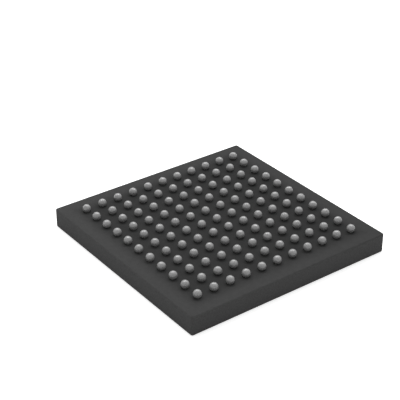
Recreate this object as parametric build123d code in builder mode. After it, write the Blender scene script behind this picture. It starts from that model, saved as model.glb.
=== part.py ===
from build123d import *
from math import atan2, copysign, degrees, sqrt
import os

os.makedirs("parts", exist_ok=True)

# Ball grid array chip, lying on its moulded face with the solder balls up.
# Millimetres. The origin is the centre of the moulded face, and +Z points to the balls.

# Body
body_size = 10.0
mold_thickness = 0.61
edge_radius = 0.05
side_count = 4

# Substrate layers
mask_cover = 0.025
copper_thickness = 0.02
core_thickness = 0.17

# Ball grid, square, with its rows lettered without the letters that look like figures
ball_count = 11
ball_pitch = 0.8
ball_diameter = 0.36
mask_opening_diameter = 0.25
row_letters = "abcdefghjklmnprtuvwy"

# Ball-side copper, with each via a half pitch from its ball along both sides of the package
via_step = 0.5
pad_diameter = 0.35
land_diameter = 0.25
neck_width = 0.1
via_diameter = 0.15

# Rings of balls, counted from the edge, that carry signals
signal_rings = 2

# Die and its adhesive film
die_size = 4.4
die_thickness = 0.28
attach_thickness = 0.025
attach_margin = 0.1

# Bond pads on the die
die_pad_size = 0.07
die_pad_thickness = 0.004
die_pad_pitch = 0.27
die_pad_inset = 0.08

# Copper of the die side
plane_margin = 0.025
finger_width = 0.12
finger_length = 0.35
finger_pitch = 0.4
finger_gap = 0.1
trace_width = 0.07
strap_width = 0.2
corner_margin = 0.05
window_margin = 0.02
ground_landing = 0.12

# Bond wires
wire_diameter = 0.025
loop_rise = 0.12
loop_share = 0.45
stitch_length = 0.06
bond_ball_diameter = 0.055
bond_ball_height = 0.012

# Levels, from the moulded face up
z_mold_top = mold_thickness
z_copper_a = z_mold_top + mask_cover
z_core_bottom = z_copper_a + copper_thickness
z_core_top = z_core_bottom + core_thickness
z_copper_b = z_core_top + copper_thickness
z_face = z_copper_b + mask_cover
z_attach = z_mold_top - attach_thickness
z_die = z_attach - die_thickness
z_die_pad = z_die - die_pad_thickness

# Ball positions, counted in pitches from the centre of the grid
steps = [n - (ball_count - 1) / 2 for n in range(ball_count)]
cells = [(i, j) for j in steps for i in steps]
last = steps[-1]
inner = last - signal_rings


def via_cell(i, j):
    """The cell of a ball's via, outward of it, with the centre lines turned so that the sides match."""
    if i == 0 and j == 0:
        return via_step, via_step
    if i == 0:
        return copysign(via_step, j), j + copysign(via_step, j)
    if j == 0:
        return i + copysign(via_step, i), -copysign(via_step, i)
    return i + copysign(via_step, i), j + copysign(via_step, j)


def place(cell):
    """A cell of the grid as a point in millimetres."""
    return cell[0] * ball_pitch, cell[1] * ball_pitch


# Columns of signal balls on one side, with the places of their vias in its outer rings
columns = sorted(via_cell(i, last)[0] for i in steps if abs(i) <= inner)
inner_via_row = (inner + 1 + via_step) * ball_pitch
outer_via_row = (last + via_step) * ball_pitch
finger_count = 2 * len(columns)
finger_places = [(n - (finger_count - 1) / 2) * finger_pitch for n in range(finger_count)]
die_pad_places = [(n - (finger_count - 1) / 2) * die_pad_pitch for n in range(finger_count)]
ground_pad_place = die_pad_places[-1] + die_pad_pitch

# Distances from the centre on one side of the package
plane_half = (inner + via_step) * ball_pitch + land_diameter / 2 + plane_margin
finger_start = plane_half + finger_gap
finger_end = finger_start + finger_length
die_pad_row = die_size / 2 - die_pad_inset
window_inner = plane_half - 2 * ground_landing
window_outer = finger_end + window_margin

# Outer form of the package: one block with rounded edges, to which each layer of the body is cut
with BuildPart() as body:
    with BuildSketch():
        Rectangle(body_size, body_size)
    extrude(amount=z_face)
    fillet(body.edges(), radius=edge_radius)

# Ball-side copper of one ball: its pad, a neck along +X and the land of its via
neck_length = via_step * ball_pitch * sqrt(2)
with BuildPart() as dog_bone:
    with BuildSketch():
        Circle(pad_diameter / 2)
        with Locations((neck_length, 0)):
            Circle(land_diameter / 2)
        with Locations((neck_length / 2, 0)):
            Rectangle(neck_length, neck_width)
    extrude(amount=copper_thickness)

dog_bone_places = []
for i, j in cells:
    via_i, via_j = via_cell(i, j)
    turn = degrees(atan2(via_j - j, via_i - i))
    dog_bone_places.append(Location((*place((i, j)), z_core_top), (0, 0, turn)))

with BuildPart() as ball_pads:
    with Locations(*dog_bone_places):
        add(dog_bone.part)
ball_pads.part.label = "ball_pads"
export_step(ball_pads.part, "parts/ball_pads.step")

# Vias: one filled plug through the core for each ball
with BuildPart() as via:
    with BuildSketch():
        Circle(via_diameter / 2)
    extrude(amount=core_thickness)

via_places = [Location((*place(via_cell(*cell)), z_core_bottom)) for cell in cells]
with BuildPart() as vias:
    with Locations(*via_places):
        add(via.part)
vias.part.label = "vias"
export_step(vias.part, "parts/vias.step")

# Core of the substrate, drilled for the vias
with BuildPart() as substrate_core:
    with BuildSketch(Plane.XY.offset(z_core_bottom)):
        Rectangle(body_size, body_size)
    extrude(amount=core_thickness)
    add(body.part, mode=Mode.INTERSECT)
    with Locations(*via_places):
        add(via.part, mode=Mode.SUBTRACT)
substrate_core.part.label = "substrate_core"
export_step(substrate_core.part, "parts/substrate_core.step")

# Solder mask of the ball side, laid over the copper, with a round opening at each ball
with BuildPart() as pocket:
    add(dog_bone.part)
    with BuildSketch(Plane.XY.offset(copper_thickness)):
        Circle(mask_opening_diameter / 2)
    extrude(amount=mask_cover)

with BuildPart() as solder_mask_ball_side:
    with BuildSketch(Plane.XY.offset(z_core_top)):
        Rectangle(body_size, body_size)
    extrude(amount=copper_thickness + mask_cover)
    add(body.part, mode=Mode.INTERSECT)
    with Locations(*dog_bone_places):
        add(pocket.part, mode=Mode.SUBTRACT)
solder_mask_ball_side.part.label = "solder_mask_ball_side"
export_step(solder_mask_ball_side.part, "parts/solder_mask_ball_side.step")

# One solder ball, with its foot in the mask opening and its round body cut by the face of the mask
ball_radius = ball_diameter / 2
foot_radius = mask_opening_diameter / 2
ball_centre = sqrt(ball_radius**2 - foot_radius**2)
with BuildPart() as ball:
    with BuildSketch(Plane.XZ):
        with BuildLine():
            Line((0, -mask_cover), (foot_radius, -mask_cover))
            Line((foot_radius, -mask_cover), (foot_radius, 0))
            ThreePointArc((foot_radius, 0), (ball_radius, ball_centre), (0, ball_centre + ball_radius))
            Line((0, ball_centre + ball_radius), (0, -mask_cover))
        make_face()
    revolve(axis=Axis.Z)

# Rows of balls, lettered from the back of the grid
for j, letter in zip(reversed(steps), row_letters):
    with BuildPart() as ball_row:
        with Locations(*[(*place((i, j)), z_face) for i in steps]):
            add(ball.part)
    ball_row.part.label = f"solder_balls_row_{letter}"
    export_step(ball_row.part, f"parts/solder_balls_row_{letter}.step")

# Ground plane under the die, with a strap to the group of vias at each corner
corner_low = inner_via_row - land_diameter / 2 - corner_margin
corner_high = outer_via_row + land_diameter / 2 + corner_margin
corner_size = corner_high - corner_low
corner_mid = (corner_low + corner_high) / 2
with BuildPart() as ground_plane:
    with BuildSketch(Plane.XY.offset(z_copper_a)):
        Rectangle(2 * plane_half, 2 * plane_half)
        with GridLocations(2 * corner_mid, 2 * corner_mid, 2, 2):
            Rectangle(corner_size, corner_size)
        for side in (1, -1):
            with BuildLine():
                Line((-corner_mid, -side * corner_mid), (corner_mid, side * corner_mid))
            trace(line_width=strap_width)
    extrude(amount=copper_thickness)
ground_plane.part.label = "ground_plane"
export_step(ground_plane.part, "parts/ground_plane.step")

# Bond fingers of one side, each with its trace to a via of the two signal rings. Of the two fingers of
# a column, the one farther from the middle reaches the inner via, and the other passes that via inward.
with BuildPart() as finger_side:
    with BuildSketch(Plane.XY.offset(z_copper_a)):
        for n, x in enumerate(finger_places):
            column = columns[n // 2] * ball_pitch
            inward = -copysign(via_step * ball_pitch, column)
            route = [(x, finger_end - finger_width / 2)]
            if (n % 2 == 1) == (column > 0):
                route += [(column, inner_via_row)]
            else:
                route += [(column + inward, inner_via_row), (column, outer_via_row)]
            with Locations((x, (finger_start + finger_end) / 2)):
                Rectangle(finger_width, finger_length)
            with Locations(route[-1]):
                Circle(land_diameter / 2)
            with BuildLine():
                Polyline(*route)
            trace(line_width=trace_width)
    extrude(amount=copper_thickness)

with BuildPart() as bond_fingers:
    with PolarLocations(0, side_count):
        add(finger_side.part)
bond_fingers.part.label = "bond_fingers"
export_step(bond_fingers.part, "parts/bond_fingers.step")

# Window of the die-side mask: a square ring over the bond fingers and the edge of the ground plane
with BuildPart() as window:
    with BuildSketch(Plane.XY.offset(z_mold_top)):
        Rectangle(2 * window_outer, 2 * window_outer)
        Rectangle(2 * window_inner, 2 * window_inner, mode=Mode.SUBTRACT)
    extrude(amount=mask_cover + copper_thickness)

# Solder mask of the die side, laid over the copper: an island under the die and a frame round the window
with BuildPart() as solder_mask_die_side:
    with BuildSketch(Plane.XY.offset(z_mold_top)):
        Rectangle(body_size, body_size)
    extrude(amount=mask_cover + copper_thickness)
    add(body.part, mode=Mode.INTERSECT)
    add([window.part, ground_plane.part, bond_fingers.part], mode=Mode.SUBTRACT)
solder_mask_die_side.part.label = "solder_mask_die_side"
export_step(solder_mask_die_side.part, "parts/solder_mask_die_side.step")

# Adhesive film and die
with BuildPart() as die_attach:
    with BuildSketch(Plane.XY.offset(z_attach)):
        Rectangle(die_size + 2 * attach_margin, die_size + 2 * attach_margin)
    extrude(amount=attach_thickness)
die_attach.part.label = "die_attach"
export_step(die_attach.part, "parts/die_attach.step")

with BuildPart() as die:
    with BuildSketch(Plane.XY.offset(z_die)):
        Rectangle(die_size, die_size)
    extrude(amount=die_thickness)
die.part.label = "die"
export_step(die.part, "parts/die.step")

# Bond pads round the die's edge: one for each finger, and a ground pad at both ends of each side
pad_places = [-ground_pad_place, *die_pad_places, ground_pad_place]
with BuildPart() as die_bond_pads:
    with BuildSketch(Plane.XY.offset(z_die_pad)):
        with PolarLocations(0, side_count):
            with Locations(*[(x, die_pad_row) for x in pad_places]):
                Rectangle(die_pad_size, die_pad_size)
    extrude(amount=die_pad_thickness)
die_bond_pads.part.label = "die_bond_pads"
export_step(die_bond_pads.part, "parts/die_bond_pads.step")


def wire(x_pad, x_landing, y_landing):
    """A looped bond wire of one side, from its ball on a die pad to its stitch on the copper."""
    run = Vector(x_landing - x_pad, y_landing - die_pad_row).normalized()
    z_top = z_die_pad - loop_rise
    z_stitch = z_copper_a - wire_diameter / 2
    x_knee = x_pad + (x_landing - x_pad) * loop_share
    y_knee = die_pad_row + (y_landing - die_pad_row) * loop_share
    with BuildPart() as one:
        with BuildLine() as path:
            Polyline(
                (x_pad, die_pad_row, z_die_pad),
                (x_pad, die_pad_row, z_top),
                (x_knee, y_knee, z_top),
                (x_landing, y_landing, z_stitch),
                (x_landing + run.X * stitch_length, y_landing + run.Y * stitch_length, z_stitch),
            )
        start = Plane(origin=path.line @ 0, x_dir=run, z_dir=(0, 0, -1))
        with BuildSketch(start):
            Circle(wire_diameter / 2)
        sweep(path=path.line, transition=Transition.RIGHT)
        with BuildSketch(start):
            Circle(bond_ball_diameter / 2)
        extrude(amount=bond_ball_height)
    return one.part


finger_landing = finger_start + finger_length / 2
plane_landing = plane_half - ground_landing
fan_slope = (finger_places[-1] - die_pad_places[-1]) / (finger_landing - die_pad_row)
ground_place = ground_pad_place + fan_slope * (plane_landing - die_pad_row)
signal_side = [wire(a, b, finger_landing) for a, b in zip(die_pad_places, finger_places)]
ground_side = [wire(s * ground_pad_place, s * ground_place, plane_landing) for s in (-1, 1)]

with BuildPart() as signal_wires:
    with PolarLocations(0, side_count):
        add(signal_side)
signal_wires.part.label = "signal_wires"
export_step(signal_wires.part, "parts/signal_wires.step")

with BuildPart() as ground_wires:
    with PolarLocations(0, side_count):
        add(ground_side)
ground_wires.part.label = "ground_wires"
export_step(ground_wires.part, "parts/ground_wires.step")

# Moulded cap: one moulding over the die and its wires, down into the windows of the mask
with BuildPart() as mold_cap:
    with BuildSketch():
        Rectangle(body_size, body_size)
    extrude(amount=mold_thickness)
    add(body.part, mode=Mode.INTERSECT)
    add(window.part)
    held = (ground_plane, bond_fingers, die_attach, die, die_bond_pads, signal_wires, ground_wires)
    add([piece.part for piece in held], mode=Mode.SUBTRACT)
mold_cap.part.label = "mold_cap"
export_step(mold_cap.part, "parts/mold_cap.step")
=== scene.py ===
import math

import bmesh
import bpy
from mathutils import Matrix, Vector

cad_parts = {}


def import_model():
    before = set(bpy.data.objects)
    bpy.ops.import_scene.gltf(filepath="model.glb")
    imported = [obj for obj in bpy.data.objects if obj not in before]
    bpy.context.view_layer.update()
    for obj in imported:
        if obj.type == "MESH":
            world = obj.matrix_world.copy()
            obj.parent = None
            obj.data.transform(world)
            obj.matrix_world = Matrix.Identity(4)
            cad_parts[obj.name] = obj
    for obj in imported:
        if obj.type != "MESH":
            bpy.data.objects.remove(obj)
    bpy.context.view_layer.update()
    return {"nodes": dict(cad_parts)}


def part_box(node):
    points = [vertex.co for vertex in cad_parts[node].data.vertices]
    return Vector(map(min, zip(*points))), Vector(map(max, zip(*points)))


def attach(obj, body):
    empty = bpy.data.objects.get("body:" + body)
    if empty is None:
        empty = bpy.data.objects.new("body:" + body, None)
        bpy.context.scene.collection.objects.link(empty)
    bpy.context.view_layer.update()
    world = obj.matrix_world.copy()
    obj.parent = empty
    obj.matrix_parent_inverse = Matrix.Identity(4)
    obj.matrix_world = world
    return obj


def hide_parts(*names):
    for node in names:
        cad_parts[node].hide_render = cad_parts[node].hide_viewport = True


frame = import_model()

MM = 0.001
PER_MM = 1 / MM
MICRON = 1e-6
WHITE = (1, 1, 1, 1)

# Camera: its lens and place, from a fit of the grid of balls and the outline, and a point that it aims at
LENS = 107.07
SENSOR = 36.0
CAMERA_PLACE = Vector((34.261, -26.394, 27.173)) * MM
CAMERA_AIM = Vector((-1.836, 0.4715, 0.876)) * MM
CLIP_NEAR = 1 * MM
CLIP_FAR = 1.0

# Body: half its width, the radius of its vertical corners in the solids and as it looks in the photograph,
# and a length too small to matter
HALF_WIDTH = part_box("mold_cap")[1][0]
SOLID_CORNER = 0.05 * MM
SEEN_CORNER = 0.1 * MM
NEAR = 1e-5 * MM

# Balls: the face that they stand on, their rows, and the points round and the rings up the mesh of each
FACE_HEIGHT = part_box("solder_mask_ball_side")[1][2]
BALL_ROWS = sorted(name for name in frame["nodes"] if name.startswith("solder_balls_row_"))
BALLS_IN_ROW = 11
BALL_SEGMENTS = 48
BALL_RINGS = 20

# Noise: the two values that nearly all of it lies between
NOISE_SPREAD = (0.3, 0.7)

# Tones of the mask on the ball side, as factors on its colour: a painted shade for a field among the balls,
# standing in for the shade that they cast, the face's own tone round it, and a lighter tone for the rounded
# edge, where it is a painted highlight, and for the thin side under that, where it evens the grey with the
# body's side. The painted shade fades out between two distances from the middle of the face
PAINTED_FIELD_SHADE = 0.54
FACE_TONE = 0.87
EDGE_TONE_AND_HIGHLIGHT = 1.2
PAINTED_SHADE_INNER = 3.95 * MM
PAINTED_SHADE_OUTER = 4.7 * MM

# Upward part of the normal where the edge's lighter tone, a painted highlight on the rounded edge, has all
# its effect, and where the face's has
EDGE_UP = 0.6
FACE_UP = 1.0

# Painted light: a slow drift of that tone across the face, lighter at its start and darker at its end as if
# more light fell on one side: its direction, its reach and its factors at the two ends
PAINTED_LIGHT_SIDE = Vector((0.3, 0.954, 0.0))
PAINTED_LIGHT_REACH = 7.0 * MM
PAINTED_LIGHT_START = 1.08
PAINTED_LIGHT_END = 0.85

# Floor: its width, how far it is below the part, its grey, and the glow that makes it white where it is seen
FLOOR_SIZE = 0.6
FLOOR_DROP = 0.01 * MM
FLOOR_GREY = 0.8
FLOOR_GLOW = 0.62

# World light: its brightest direction, its strength from there, and from all sides square to it or beyond
BRIGHT_SIDE = Vector((-0.37, 0.38, 0.848))
WORLD_HIGH = 0.88
WORLD_LOW = 0.49

# Lamp: its place and aim, its size, and its power in watts
LAMP_PLACE = Vector((-52, 38.8, 100)) * MM
LAMP_AIM = Vector((0, 0, 0))
LAMP_WIDTH = 150 * MM
LAMP_HEIGHT = 34 * MM
LAMP_POWER = 0.113


def nodes_of(owner, output):
    """The node tree of a material or world, emptied, and its new output node."""
    owner.use_nodes = True
    tree = owner.node_tree
    tree.nodes.clear()
    return tree, tree.nodes.new(output)


def feed(tree, socket, source):
    """Gives an input socket its source: a link where that is a socket, or else a constant."""
    if isinstance(source, bpy.types.NodeSocket):
        tree.links.new(source, socket)
    else:
        socket.default_value = source


def add_node(tree, kind, **sources):
    """A node of one kind with sources for its inputs, named as they are but with _ for a space."""
    node = tree.nodes.new(kind)
    for name, source in sources.items():
        feed(tree, node.inputs[name.replace("_", " ")], source)
    return node


def operate(tree, kind, operation, *sources):
    """A maths node of one kind and operation, with sources for its first inputs."""
    node = tree.nodes.new(kind)
    node.operation = operation
    for socket, source in zip(node.inputs, sources):
        feed(tree, socket, source)
    return node


def number(tree, operation, *sources):
    """A socket with a number worked out from others."""
    return operate(tree, "ShaderNodeMath", operation, *sources).outputs["Value"]


def reach_along(tree, vector, direction):
    """A socket with how far a vector reaches along a direction."""
    return operate(tree, "ShaderNodeVectorMath", "DOT_PRODUCT", vector, direction).outputs["Value"]


def mapped(tree, source, source_span, result_span):
    """A Map Range node that runs over one span as its source runs over another."""
    return add_node(
        tree,
        "ShaderNodeMapRange",
        Value=source,
        From_Min=source_span[0],
        From_Max=source_span[1],
        To_Min=result_span[0],
        To_Max=result_span[1],
    )


def noise(tree, place, scale, detail, roughness=0.5):
    """A socket with noise fixed to the part, its scale in cells per millimetre."""
    node = add_node(
        tree,
        "ShaderNodeTexNoise",
        Vector=place.outputs["Object"],
        Scale=scale * PER_MM,
        Detail=detail,
        Roughness=roughness,
    )
    return node.outputs["Fac"]


def ramp(tree, source, low, high):
    """A socket with a colour that goes from low to high over the spread of a noise."""
    node = add_node(tree, "ShaderNodeValToRGB", Fac=source)
    for element, position, colour in zip(node.color_ramp.elements, NOISE_SPREAD, (low, high)):
        element.position = position
        element.color = (*colour, 1)
    return node.outputs["Color"]


def bumps(tree, place, grain):
    """A socket with the normal after layers of grain, each a noise scale and a depth in micrometres."""
    normal = None
    for scale, depth in grain:
        height = noise(tree, place, scale, detail=3.0, roughness=0.6)
        node = add_node(tree, "ShaderNodeBump", Height=height, Strength=1.0, Distance=depth * MICRON)
        if normal:
            tree.links.new(normal, node.inputs["Normal"])
        normal = node.outputs["Normal"]
    return normal


def mask_tone_and_painted_light(tree, place):
    """A socket with the tone of the ball side's mask, with painted shade among the balls, a painted
    highlight on the rounded edge by its slope, and a painted light drift across the face.
    """
    sides = add_node(tree, "ShaderNodeSeparateXYZ", Vector=place.outputs["Object"])
    from_middle = [number(tree, "ABSOLUTE", sides.outputs[axis]) for axis in ("X", "Y")]
    reach = number(tree, "MAXIMUM", *from_middle)
    # Painted shade: darker among the balls, where they would shade the face, fading to the face's own tone
    # towards the rim
    face_with_painted_shade = mapped(tree, reach, (PAINTED_SHADE_INNER, PAINTED_SHADE_OUTER), (PAINTED_FIELD_SHADE, FACE_TONE))
    face_with_painted_shade.interpolation_type = "SMOOTHSTEP"
    slopes = add_node(tree, "ShaderNodeSeparateXYZ", Vector=place.outputs["Normal"])
    # Lighter on the rounded edge and the thin side under it: a painted highlight on the edge, and on the
    # thin side the grey of the body's side
    tone_and_painted_light = mapped(tree, slopes.outputs["Z"], (EDGE_UP, FACE_UP), (EDGE_TONE_AND_HIGHLIGHT, face_with_painted_shade.outputs["Result"]))
    # Painted light: a slow drift from lighter to darker across the face
    along = reach_along(tree, place.outputs["Object"], PAINTED_LIGHT_SIDE)
    painted_light_drift = mapped(tree, along, (-PAINTED_LIGHT_REACH, PAINTED_LIGHT_REACH), (PAINTED_LIGHT_START, PAINTED_LIGHT_END))
    return number(tree, "MULTIPLY", tone_and_painted_light.outputs["Result"], painted_light_drift.outputs["Result"])


def surface(
    name,
    colour,
    mottle,
    mottle_scale,
    roughness,
    roughness_scale,
    grain,
    specular=0.5,
    ior=1.5,
    metallic=0.0,
    tone_and_painted_light=None,
):
    """A material with a colour that varies by a share, a roughness that varies over a span, and grain.

    Scales are in noise cells per millimetre. Grain is layers of bump, each a scale and a depth in
    micrometres. A tone and painted light is a function that makes a factor for the colour, and can paint
    light and shade into it.
    """
    material = bpy.data.materials.new(name)
    tree, out = nodes_of(material, "ShaderNodeOutputMaterial")
    place = tree.nodes.new("ShaderNodeTexCoord")
    low = tuple(c * (1 - mottle) for c in colour)
    high = tuple(c * (1 + mottle) for c in colour)
    shade = ramp(tree, noise(tree, place, mottle_scale, detail=4.0), low, high)
    # A factor on the colour, which for the mask paints shade and light into it
    if tone_and_painted_light:
        toned = tree.nodes.new("ShaderNodeVectorMath")
        toned.operation = "SCALE"
        tree.links.new(shade, toned.inputs[0])
        tree.links.new(tone_and_painted_light(tree, place), toned.inputs["Scale"])
        shade = toned.outputs["Vector"]
    gloss = noise(tree, place, roughness_scale, detail=2.0)
    shader = add_node(
        tree,
        "ShaderNodeBsdfPrincipled",
        Base_Color=shade,
        Metallic=metallic,
        Roughness=mapped(tree, gloss, NOISE_SPREAD, roughness).outputs["Result"],
        IOR=ior,
        Specular_IOR_Level=specular,
        Normal=bumps(tree, place, grain),
    )
    tree.links.new(shader.outputs["BSDF"], out.inputs["Surface"])
    return material


def grey(value):
    """A grey as a colour."""
    return (value, value, value)


# Moulding compound: dark grey, dull and finely grained
mold = surface(
    "mold_compound",
    grey(0.063),
    mottle=0.14,
    mottle_scale=14,
    roughness=(0.52, 0.68),
    roughness_scale=6,
    grain=[(24, 3.0), (60, 1.2)],
    specular=0.06,
    ior=1.3,
)

# Laminate: as dark and dull as the compound, so that the side shows no seam between them
laminate = surface(
    "laminate",
    grey(0.063),
    mottle=0.16,
    mottle_scale=14,
    roughness=(0.52, 0.68),
    roughness_scale=6,
    grain=[(24, 3.0), (60, 1.2)],
    specular=0.06,
    ior=1.3,
)

# Solder mask of the face with the balls: smoother, with slow waves, and with painted shade among the balls,
# a painted highlight on its rounded edge and painted light drifting across it
mask = surface(
    "solder_mask",
    grey(0.055),
    mottle=0.07,
    mottle_scale=6,
    roughness=(0.48, 0.62),
    roughness_scale=3,
    grain=[(3.5, 4.0), (30, 0.8)],
    specular=0.05,
    ior=1.3,
    tone_and_painted_light=mask_tone_and_painted_light,
)

# Solder mask between the compound and the laminate, of which only the edge shows
buried_mask = surface(
    "buried_mask",
    grey(0.063),
    mottle=0.04,
    mottle_scale=2.5,
    roughness=(0.55, 0.66),
    roughness_scale=3,
    grain=[(30, 1.0)],
    specular=0.06,
    ior=1.3,
)

# Solder: a mid grey, slightly metallic, with a soft gloss that is finely broken
solder = surface(
    "solder",
    grey(0.278),
    mottle=0.13,
    mottle_scale=16,
    roughness=(0.22, 0.32),
    roughness_scale=9,
    grain=[(14, 1.6), (40, 0.5)],
    metallic=0.16,
)


def inner_metal(name, colour, mottle, roughness, depth):
    """A metal inside the chip, with one layer of grain of a given depth."""
    return surface(
        name,
        colour,
        mottle=mottle,
        mottle_scale=9,
        roughness=roughness,
        roughness_scale=6,
        grain=[(20, depth)],
        metallic=1.0,
    )


copper = inner_metal("copper", (0.72, 0.43, 0.30), mottle=0.06, roughness=(0.3, 0.45), depth=0.5)
gold = inner_metal("gold", (0.90, 0.68, 0.30), mottle=0.04, roughness=(0.22, 0.32), depth=0.3)
pad_metal = inner_metal("pad_metal", grey(0.8), mottle=0.03, roughness=(0.3, 0.4), depth=0.3)

# Silicon of the die: grey, faintly blue and nearly smooth
silicon = surface(
    "silicon",
    (0.16, 0.17, 0.19),
    mottle=0.05,
    mottle_scale=6,
    roughness=(0.2, 0.3),
    roughness_scale=4,
    grain=[(16, 0.2)],
)

# Adhesive of the die: a matte pale grey
adhesive = surface(
    "adhesive",
    grey(0.5),
    mottle=0.08,
    mottle_scale=9,
    roughness=(0.5, 0.7),
    roughness_scale=6,
    grain=[(20, 0.8)],
)

# Finishes of the solids that stay as they are
FINISH = {
    "ball_pads": copper,
    "vias": copper,
    "ground_plane": copper,
    "bond_fingers": gold,
    "die": silicon,
    "die_attach": adhesive,
    "die_bond_pads": pad_metal,
    "signal_wires": gold,
    "ground_wires": gold,
}
for name, material in FINISH.items():
    node = frame["nodes"][name]
    node.data.materials.clear()
    node.data.materials.append(material)


def stand_in(name, data, node_name, material):
    """A piece with a mesh of its own in the place of one node of the frame."""
    data.materials.clear()
    data.materials.append(material)
    piece = bpy.data.objects.new(name, data)
    bpy.context.scene.collection.objects.link(piece)
    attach(piece, "root")
    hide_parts(node_name)


def blunter(x, y):
    """Where a point of the body goes in plan as the radius of the corners grows from solid to seen."""
    along = abs(x) - HALF_WIDTH + SOLID_CORNER
    across = abs(y) - HALF_WIDTH + SOLID_CORNER
    if min(along, across) < -NEAR:
        return x, y
    along = max(along, 0.0)
    across = max(across, 0.0)
    radius = math.hypot(along, across)
    turn = math.atan2(across, along) if radius > NEAR else math.pi / 4
    radius += SEEN_CORNER - SOLID_CORNER
    centre = HALF_WIDTH - SEEN_CORNER
    new_x = math.copysign(centre + radius * math.cos(turn), x)
    new_y = math.copysign(centre + radius * math.sin(turn), y)
    return new_x, new_y


def body_layer(name, material):
    """A layer of the body like its solid, but with blunter vertical corners."""
    data = frame["nodes"][name].data.copy()
    for vertex in data.vertices:
        vertex.co.x, vertex.co.y = blunter(vertex.co.x, vertex.co.y)
    stand_in("blunt_" + name, data, name, material)


body_layer("mold_cap", mold)
body_layer("substrate_core", laminate)
body_layer("solder_mask_ball_side", mask)
body_layer("solder_mask_die_side", buried_mask)


def ball_profile(low, high, radius):
    """The radius and height of each ring of a ball, from the bottom of its foot to just below its top."""
    centre = high - radius
    foot = math.sqrt(radius**2 - (centre - FACE_HEIGHT) ** 2)
    start = math.asin((FACE_HEIGHT - centre) / radius)
    points = [(foot, low)]
    for ring in range(BALL_RINGS):
        turn = start + (math.pi / 2 - start) * ring / BALL_RINGS
        points.append((radius * math.cos(turn), centre + radius * math.sin(turn)))
    return points


def add_ball(mesh, x, y, profile, top_height):
    """Adds a closed ball to a mesh: rings by its profile, smooth faces between them, a top and a foot."""
    rings = []
    for radius, height in profile:
        ring = []
        for s in range(BALL_SEGMENTS):
            turn = 2 * math.pi * s / BALL_SEGMENTS
            point = (x + radius * math.cos(turn), y + radius * math.sin(turn), height)
            ring.append(mesh.verts.new(point))
        rings.append(ring)
    top = mesh.verts.new((x, y, top_height))
    for below, above in zip(rings, rings[1:]):
        for s in range(BALL_SEGMENTS):
            t = (s + 1) % BALL_SEGMENTS
            mesh.faces.new((below[s], below[t], above[t], above[s])).smooth = True
    for s in range(BALL_SEGMENTS):
        t = (s + 1) % BALL_SEGMENTS
        mesh.faces.new((rings[-1][s], rings[-1][t], top)).smooth = True
    mesh.faces.new(list(reversed(rings[0])))


def ball_row(name):
    """One row of solder balls as smooth meshes, where the solids are."""
    low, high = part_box(name)
    radius = (high[1] - low[1]) / 2
    y = (low[1] + high[1]) / 2
    first = low[0] + radius
    last = high[0] - radius
    profile = ball_profile(low[2], high[2], radius)
    mesh = bmesh.new()
    for n in range(BALLS_IN_ROW):
        x = first + (last - first) * n / (BALLS_IN_ROW - 1)
        add_ball(mesh, x, y, profile, high[2])
    data = bpy.data.meshes.new("smooth_" + name)
    mesh.to_mesh(data)
    mesh.free()
    stand_in("smooth_" + name, data, name, solder)


for row_name in BALL_ROWS:
    ball_row(row_name)


def seen_rays(tree):
    """A socket that is one for rays from the camera, from gloss and through glass, and zero for the rest."""
    rays = tree.nodes.new("ShaderNodeLightPath").outputs
    seen = number(tree, "MAXIMUM", rays["Is Camera Ray"], rays["Is Glossy Ray"])
    return number(tree, "MAXIMUM", seen, rays["Is Transmission Ray"])


def floor_material():
    """A pale matte that keeps the part's shadow, with a glow that makes it white where it is seen."""
    material = bpy.data.materials.new("floor")
    tree, out = nodes_of(material, "ShaderNodeOutputMaterial")
    matte = add_node(tree, "ShaderNodeBsdfDiffuse", Color=(*grey(FLOOR_GREY), 1))
    strength = number(tree, "MULTIPLY", seen_rays(tree), FLOOR_GLOW)
    glow = add_node(tree, "ShaderNodeEmission", Color=WHITE, Strength=strength)
    both = tree.nodes.new("ShaderNodeAddShader")
    tree.links.new(matte.outputs["BSDF"], both.inputs[0])
    tree.links.new(glow.outputs["Emission"], both.inputs[1])
    tree.links.new(both.outputs["Shader"], out.inputs["Surface"])
    return material


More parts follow.
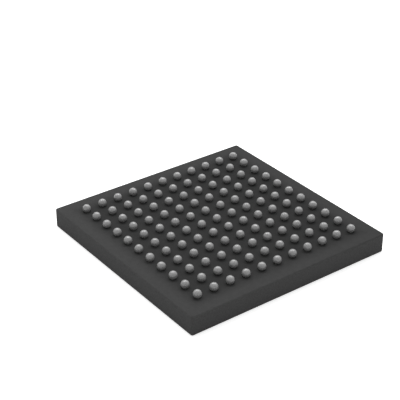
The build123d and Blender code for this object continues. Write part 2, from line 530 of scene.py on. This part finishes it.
def floor():
    """A plain floor just under the part."""
    bpy.ops.mesh.primitive_plane_add(size=FLOOR_SIZE, location=(0, 0, -FLOOR_DROP))
    plane = bpy.context.object
    plane.name = "floor"
    plane.data.materials.append(floor_material())


floor()


def world():
    """Soft white light, brightest from behind and above the part, and plain white where it is seen."""
    sky = bpy.data.worlds.new("studio")
    bpy.context.scene.world = sky
    tree, out = nodes_of(sky, "ShaderNodeOutputWorld")
    place = tree.nodes.new("ShaderNodeTexCoord")
    toward = reach_along(tree, place.outputs["Generated"], BRIGHT_SIDE)
    level = mapped(tree, toward, (0.0, 1.0), (WORLD_LOW, WORLD_HIGH))
    light = add_node(tree, "ShaderNodeBackground", Color=WHITE, Strength=level.outputs["Result"])
    shown = add_node(tree, "ShaderNodeBackground", Color=WHITE, Strength=1.0)
    pick = add_node(tree, "ShaderNodeMixShader", Fac=seen_rays(tree))
    tree.links.new(light.outputs["Background"], pick.inputs[1])
    tree.links.new(shown.outputs["Background"], pick.inputs[2])
    tree.links.new(pick.outputs["Shader"], out.inputs["Surface"])


world()


def set_up(name, data, place, aim):
    """A lamp or camera in the scene, at a place and facing its aim, with its width level."""
    thing = bpy.data.objects.new(name, data)
    bpy.context.scene.collection.objects.link(thing)
    thing.location = place
    thing.rotation_euler = (aim - place).to_track_quat("-Z", "Y").to_euler()
    return thing


def back_lamp():
    """A wide soft box behind and above the part."""
    data = bpy.data.lights.new("back_lamp", "AREA")
    data.shape = "RECTANGLE"
    data.size = LAMP_WIDTH
    data.size_y = LAMP_HEIGHT
    data.energy = LAMP_POWER
    set_up("back_lamp", data, LAMP_PLACE, LAMP_AIM)


back_lamp()


def camera():
    """The camera at the photograph's viewing angle."""
    data = bpy.data.cameras.new("camera")
    data.lens = LENS
    data.sensor_width = SENSOR
    data.clip_start = CLIP_NEAR
    data.clip_end = CLIP_FAR
    bpy.context.scene.camera = set_up("camera", data, CAMERA_PLACE, CAMERA_AIM)


camera()
bpy.context.scene.view_settings.view_transform = "Standard"
